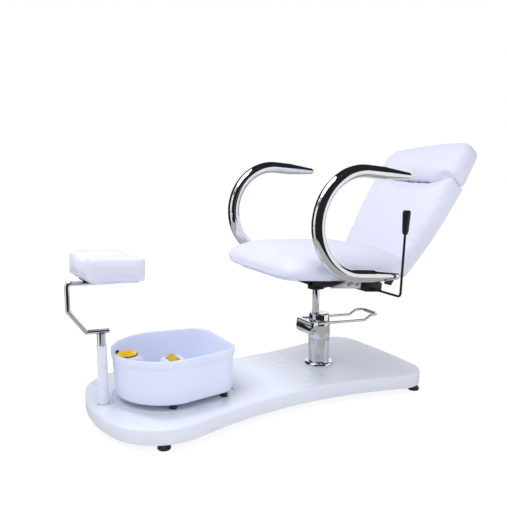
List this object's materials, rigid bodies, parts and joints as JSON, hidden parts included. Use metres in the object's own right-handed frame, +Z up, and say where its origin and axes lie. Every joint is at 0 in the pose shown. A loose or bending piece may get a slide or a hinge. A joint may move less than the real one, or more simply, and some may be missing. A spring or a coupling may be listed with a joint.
{
  "type": "pedicure spa chair",
  "caption": "Hydraulic swivel seat with reclining back and bowed chrome armrests on a waisted platform, with a lift-off foot basin and a swivelling footrest.",
  "frame": {"origin": "on the floor under the middle of the box round the whole chair", "axes": "+X to the sitter's left, -Y to the front where the sitter faces, +Z up"},
  "size_m": [0.701, 1.6645, 0.982],
  "materials": {
    "platform_lacquer": "gloss",
    "back_panel": "satin",
    "white_enamel": "gloss",
    "black_enamel": "satin",
    "chrome": "polished",
    "zinc_steel": "satin",
    "bronze": "satin",
    "upholstery": "satin",
    "black_rubber": "matte",
    "black_plastic": "matte",
    "basin_plastic": "gloss",
    "amber_plastic": "gloss"
  },
  "bodies": {
    "base": {"base_deck": "platform_lacquer", "levelling_feet": "black_rubber", "pump_flange": "zinc_steel", "pump_anchor_bolts": "zinc_steel", "pump_trim_ring": "chrome", "pump_cylinder": "chrome", "hydraulic_barrel": "zinc_steel", "pump_head": "chrome", "rod_guide_bush": "bronze", "post_flange": "zinc_steel", "post_tube": "white_enamel", "post_flange_bolts": "zinc_steel"},
    "lift": {"piston_rod": "chrome", "piston_seal": "black_rubber"},
    "seat": {"swivel_hub": "black_enamel", "seat_mount_plate": "black_enamel", "seat_frame": "black_enamel", "frame_bolts": "zinc_steel", "seat_board": "back_panel", "seat_cushion": "upholstery", "armrest_mount_left": "zinc_steel", "armrest_mount_right": "zinc_steel", "armrest_left": "chrome", "armrest_right": "chrome", "armrest_bolts": "zinc_steel", "hinge_bracket_left": "black_enamel", "hinge_bracket_right": "black_enamel", "lock_housing": "black_enamel"},
    "pedal": {"pedal_pivot_pin": "zinc_steel", "pedal_yoke": "chrome", "foot_pedal_loop": "chrome", "pedal_tread_sleeve": "chrome"},
    "back": {"recline_tube": "zinc_steel", "back_arm_left": "black_enamel", "back_arm_right": "black_enamel", "recline_crank": "black_enamel", "back_board": "back_panel", "back_board_bolts": "zinc_steel", "backrest_cushion": "upholstery", "headrest_cushion": "upholstery"},
    "lock_slider": {"lock_rod": "chrome"},
    "lever": {"release_lever": "black_enamel", "release_grip": "black_plastic"},
    "rest_post": {"footrest_post": "chrome"},
    "footrest": {"footrest_arm": "chrome", "pad_plate": "black_enamel", "pad_plate_screws": "zinc_steel", "pad_board": "black_plastic", "footrest_pad": "upholstery"},
    "basin": {"basin_tub": "basin_plastic", "basin_feet": "black_rubber", "control_pod": "basin_plastic", "lamp_bezel": "black_plastic", "lamp_lens": "amber_plastic", "massage_bed": "basin_plastic", "roller_axles": "zinc_steel"},
    "knob": {"control_knob": "black_plastic"},
    "roller_left": {"massage_roller_left": "amber_plastic"},
    "roller_right": {"massage_roller_right": "amber_plastic"}
  },
  "joints": [
    {"name": "seat_lift", "type": "slide", "parent": "base", "child": "lift", "axis": [0, 0, 1], "range_m": [-0.08, 0.05]},
    {"name": "seat_swivel", "type": "hinge", "parent": "lift", "child": "seat", "pos_m": [0, 0.172, 0.42], "axis": [0, 0, 1], "continuous": true},
    {"name": "pedal_pump", "type": "hinge", "parent": "base", "child": "pedal", "pos_m": [0, 0.13, 0.2355], "axis": [-1, 0, 0], "range_deg": [0, 20], "stiffness_Nm_per_rad": 12, "springref_deg": -20.05},
    {"name": "back_recline", "type": "hinge", "parent": "seat", "child": "back", "pos_m": [0, 0.42476, 0.44526], "axis": [-1, 0, 0], "range_deg": [-2, 25]},
    {"name": "lock_slide", "type": "slide", "parent": "seat", "child": "lock_slider", "axis": [0, 0.9945, -0.1045], "range_m": [-0.019, 0.0015]},
    {"name": "lever_pull", "type": "hinge", "parent": "seat", "child": "lever", "pos_m": [0, 0.31003, 0.41559], "axis": [-1, 0, 0], "range_deg": [0, 17], "stiffness_Nm_per_rad": 3, "springref_deg": -17.19},
    {"name": "footrest_height", "type": "slide", "parent": "base", "child": "rest_post", "axis": [0, 0, 1], "range_m": [-0.022, 0.06]},
    {"name": "footrest_swivel", "type": "hinge", "parent": "rest_post", "child": "footrest", "pos_m": [0, -0.713, 0.32], "axis": [0, 0, 1], "range_deg": [-60, 60]},
    {"name": "basin_lift_off", "type": "slide", "parent": "base", "child": "basin", "axis": [0, 0, 1], "range_m": [0, 0.1]},
    {"name": "knob_turn", "type": "hinge", "parent": "basin", "child": "knob", "pos_m": [-0.037, -0.648, 0.24], "axis": [0, 0, -1], "range_deg": [0, 270]},
    {"name": "roller_left_spin", "type": "hinge", "parent": "basin", "child": "roller_left", "pos_m": [0.08, -0.422, 0.1665], "axis": [1, 0, 0], "continuous": true},
    {"name": "roller_right_spin", "type": "hinge", "parent": "basin", "child": "roller_right", "pos_m": [-0.08, -0.422, 0.1665], "axis": [1, 0, 0], "continuous": true}
  ],
  "couplings": [
    {"joint": "lock_slide", "follows": "back_recline", "m_per_rad": -0.041}
  ]
}
